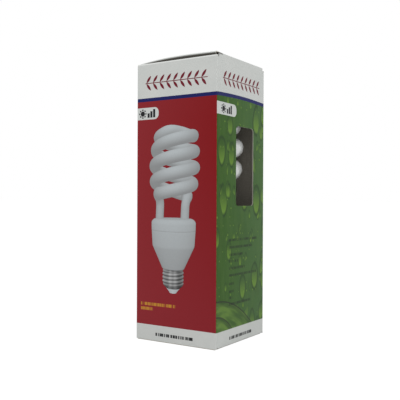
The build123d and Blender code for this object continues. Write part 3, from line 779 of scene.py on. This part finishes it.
def ink(point, normal, part):
    """Printed grey of the pictured lamp, from how its surface is turned to the light."""
    front, up = -normal.y, normal.z
    if part == "cap":
        grey = between(CAP_BANDS, normal.x) + CAP_RELIEF * up
        if point.z > CAP_THREADED[1] - 0.1:
            grey -= CONE_SHADE * max(0.0, 1 - 1.5 * abs(normal.x))
        return srgb(grey, grey + 1, grey + 1)
    if part == "tube":
        lit = max(0.0, 0.82 * front + 0.57 * up - 0.06 * normal.x)
        share = 0.88 * lit ** 1.2 * (1 - 0.55 * min(1.0, abs(point.x) / TUBE_REACH) ** 2)
    elif part == "tip":
        share = 0.92 - 0.45 * abs(normal.x)
    else:
        share = 0.66 * max(0.0, front) ** 0.6 + 0.3 * up - 0.05 * normal.x + 0.005 * (point.z - 55)
        if abs(point.z - PICTURED_SEAM) < 0.25:
            share -= SEAM_SHADE
    grey = INK_DARKEST + INK_SPAN * min(1.1, max(0.0, share))
    cool = 2 + 5 * share
    return srgb(grey, grey + cool, grey + 1.4 * cool)


def leaning(p):
    """Turns a point of the tube about the lean's level, as it stands a little crooked in its cover."""
    c, s = cos(PICTURED_LEAN), sin(PICTURED_LEAN)
    up = p.z - LEAN_LEVEL
    return Vector((p.x * c + up * s, p.y, LEAN_LEVEL + up * c - p.x * s))


def fine(outline, step):
    """Outline with points no further apart than a step, so that its corners stay crisp."""
    made = [outline[0]]
    for (r0, z0), (r1, z1) in zip(outline, outline[1:]):
        count = max(1, round(hypot(r1 - r0, z1 - z0) / step))
        made += [(r0 + (r1 - r0) * i / count, z0 + (z1 - z0) * i / count) for i in range(1, count + 1)]
    return made


def thread_normal(point, normal):
    """Turns a normal with the slope of the thread."""
    step = 0.05
    degrees = atan2(point.y, point.x) * 180 / pi
    rise = (rolled_thread(point.z + step, degrees) - rolled_thread(point.z - step, degrees)) / (2 * step)
    return (normal - Vector((0, 0, rise))).normalized()


def printed_lamp(name, side, material):
    """The lamp pressed flat on a panel; side is -1 for the front panel and 1 for the back one."""
    form = Form()
    spiral = Spiral(base=94.9, pitch=32.3, end=690, top=163.0, knee=4.0, late=0.9, radius=23.8)
    form.sweep(spiral.line(5), 24, PICTURED_TUBE, "tube")
    for i, p in enumerate(form.points):
        form.points[i] = leaning(p)
    form.revolve(fine(HOUSING, 1.2), 72, "housing")
    form.revolve(TIP, 48, "tip")
    first = len(form.points)
    form.revolve(cap_outline(10), 72, "cap", lift=rolled_thread)
    for i in range(first, len(form.points)):
        form.normals[i] = thread_normal(form.points[i], form.normals[i])
    distance, level = PICTURE_EYE

    def place(p):
        shrink = distance / (distance + p.y)
        across = PICTURE_AXIS + p.x * shrink * PICTURE_SCALE
        up = PICTURE_TIP + (level + (p.z - level) * shrink) * PICTURE_SCALE
        off = INK_FILM - p.y * INK_RELIEF
        return Vector((-side * across * MM, side * (HALF + off * MM), up * MM))

    picture = mesh_piece(name, form, place, smooth=False)
    layer = picture.data.color_attributes.new(name="ink", type="FLOAT_COLOR", domain="POINT")
    colours = [ink(*sample) for sample in zip(form.points, form.normals, form.parts)]
    layer.data.foreach_set("color", [value for colour in colours for value in colour])
    picture.data.materials.append(material)


def ink_material():
    """Ink of the picture on the coated card."""
    s = Shader("picture_ink")
    place, _ = s.object_space()
    tone = s.node("ShaderNodeAttribute", attribute_name="ink", attribute_type="GEOMETRY").outputs["Color"]
    grain = s.span(s.noise(place, 900.0, 2.0), 0.3, 0.7, 0.0, 0.06)
    s.set(Base_Color=s.mix(grain, tone, srgb(96, 98, 98)))
    s.set(Roughness=s.span(s.noise(place, 240.0, 2.0), 0.3, 0.7, 0.36, 0.44))
    s.surface.inputs["Specular IOR Level"].default_value = CARD_GLOSS
    return s.material


# Camera, floor and light

def add_camera():
    """The photograph's viewpoint."""
    yaw, pitch = CAMERA_YAW, CAMERA_PITCH
    look = Vector((sin(yaw) * cos(pitch), cos(yaw) * cos(pitch), sin(pitch)))
    level = Vector((cos(yaw), -sin(yaw), 0))
    upward = level.cross(look)
    right = cos(CAMERA_ROLL) * level + sin(CAMERA_ROLL) * upward
    up = -sin(CAMERA_ROLL) * level + cos(CAMERA_ROLL) * upward
    data = bpy.data.cameras.new("camera")
    data.sensor_width = SENSOR
    data.lens = FOCAL_PIXELS / IMAGE_SIZE * SENSOR
    camera = bpy.data.objects.new("camera", data)
    bpy.context.scene.collection.objects.link(camera)
    turn = Matrix((right, up, -look)).transposed().to_4x4()
    camera.matrix_world = Matrix.Translation(CAMERA_AT) @ turn
    bpy.context.scene.camera = camera


def seen_share(tree, strength):
    """A strength for camera, glossy and transmission rays, and 0 for the others."""
    path = tree.nodes.new("ShaderNodeLightPath")
    seen = path.outputs["Is Camera Ray"]
    for name in ("Is Glossy Ray", "Is Transmission Ray"):
        both = tree.nodes.new("ShaderNodeMath")
        both.operation = "MAXIMUM"
        tree.links.new(seen, both.inputs[0])
        tree.links.new(path.outputs[name], both.inputs[1])
        seen = both.outputs[0]
    share = tree.nodes.new("ShaderNodeMath")
    share.operation = "MULTIPLY"
    tree.links.new(seen, share.inputs[0])
    share.inputs[1].default_value = strength
    return share.outputs[0]


def add_floor():
    """Pale floor that reads as white and keeps a faint shadow of the object."""
    mesh = bpy.data.meshes.new("floor")
    reach = FLOOR_REACH
    corners = [(-reach, -reach, 0), (reach, -reach, 0), (reach, reach, 0), (-reach, reach, 0)]
    mesh.from_pydata(corners, [], [(0, 1, 2, 3)])
    floor = bpy.data.objects.new("floor", mesh)
    bpy.context.scene.collection.objects.link(floor)
    floor.location.z = -FLOOR_DROP
    material = bpy.data.materials.new("floor")
    material.use_nodes = True
    tree = material.node_tree
    tree.nodes.clear()
    output = tree.nodes.new("ShaderNodeOutputMaterial")
    diffuse = tree.nodes.new("ShaderNodeBsdfDiffuse")
    diffuse.inputs["Color"].default_value = (FLOOR_GREY, FLOOR_GREY, FLOOR_GREY, 1)
    glow = tree.nodes.new("ShaderNodeEmission")
    glow.inputs["Color"].default_value = (1, 1, 1, 1)
    glow.inputs["Strength"].default_value = FLOOR_GLOW
    mix = tree.nodes.new("ShaderNodeMixShader")
    tree.links.new(seen_share(tree, FLOOR_SHARE), mix.inputs[0])
    tree.links.new(diffuse.outputs[0], mix.inputs[1])
    tree.links.new(glow.outputs[0], mix.inputs[2])
    tree.links.new(mix.outputs[0], output.inputs[0])
    mesh.materials.append(material)


def add_world():
    """Even fill light, and a white background to the camera."""
    world = bpy.data.worlds.new("world")
    bpy.context.scene.world = world
    world.use_nodes = True
    tree = world.node_tree
    tree.nodes.clear()
    output = tree.nodes.new("ShaderNodeOutputWorld")
    fill = tree.nodes.new("ShaderNodeBackground")
    fill.inputs["Color"].default_value = (1, 1, 1, 1)
    fill.inputs["Strength"].default_value = WORLD_LIGHT
    backdrop = tree.nodes.new("ShaderNodeBackground")
    backdrop.inputs["Color"].default_value = (1, 1, 1, 1)
    backdrop.inputs["Strength"].default_value = 1.0
    mix = tree.nodes.new("ShaderNodeMixShader")
    tree.links.new(seen_share(tree, 1.0), mix.inputs[0])
    tree.links.new(fill.outputs[0], mix.inputs[1])
    tree.links.new(backdrop.outputs[0], mix.inputs[2])
    tree.links.new(mix.outputs[0], output.inputs[0])


def add_softbox(name, place):
    """Square area light that faces the carton's middle."""
    data = bpy.data.lights.new(name, "AREA")
    data.energy = LIGHT_POWER
    data.size = LIGHT_SIZE
    light = bpy.data.objects.new(name, data)
    bpy.context.scene.collection.objects.link(light)
    light.location = place
    light.rotation_mode = "QUATERNION"
    light.rotation_quaternion = (Vector(LIGHT_AIM) - Vector(place)).to_track_quat("-Z", "Y")


dress("carton_sleeve", printed_card())
white_card = lid_card()
dress("top_lid", white_card)
dress("bottom_lid", white_card)

real_tube()
real_cap()
picture_ink = ink_material()
printed_lamp("front_picture", -1, picture_ink)
printed_lamp("back_picture", 1, picture_ink)
plastic = plain("white_plastic", srgb(226, 228, 229), roughness=0.34, grain=0.08, variation=0.015)
dress("tube_cover", plastic)
dress("lower_housing", plastic)
dress("cap_insulator", plain("insulator", srgb(208, 206, 198), roughness=0.4))
dress("centre_contact", plain("contact_metal", srgb(200, 178, 122), roughness=0.35, metallic=1.0))
dress("leg_cement", plain("cement", srgb(205, 200, 186), roughness=0.85, grain=0.4))
dress("circuit_board", plain("board_laminate", srgb(176, 138, 82), roughness=0.55, grain=0.2))
dress("electrolytic_capacitor", plain("dark_sleeve", srgb(34, 40, 62), roughness=0.3, coat=0.3))
ferrite = plain("ferrite", srgb(58, 58, 60), roughness=0.6, grain=0.3)
dress("choke_core", ferrite)
dress("ring_core", ferrite)
dress("choke_bobbin", plain("bobbin_plastic", srgb(44, 44, 46), roughness=0.5))
copper = plain("copper_wire", srgb(176, 96, 52), roughness=0.3, metallic=0.8)
dress("choke_winding", copper)
dress("ring_windings", copper)
black = plain("black_plastic", srgb(36, 36, 38), roughness=0.5, grain=0.15)
dress("transistors", black)
dress("rectifier_diodes", black)
dress("film_capacitors", plain("capacitor_dip", srgb(168, 60, 40), roughness=0.25, coat=0.4))
resistor = plain("resistor_coat", srgb(206, 184, 140), roughness=0.5)
dress("resistors", resistor)
dress("fusible_resistor", resistor)
tinned = plain("tinned_wire", srgb(200, 200, 200), roughness=0.3, metallic=1.0)
dress("filament_leads", tinned)
dress("supply_leads", tinned)

add_camera()
add_floor()
add_world()
add_softbox("key", KEY_AT)
add_softbox("side", SIDE_AT)
bpy.context.scene.view_settings.view_transform = "Standard"
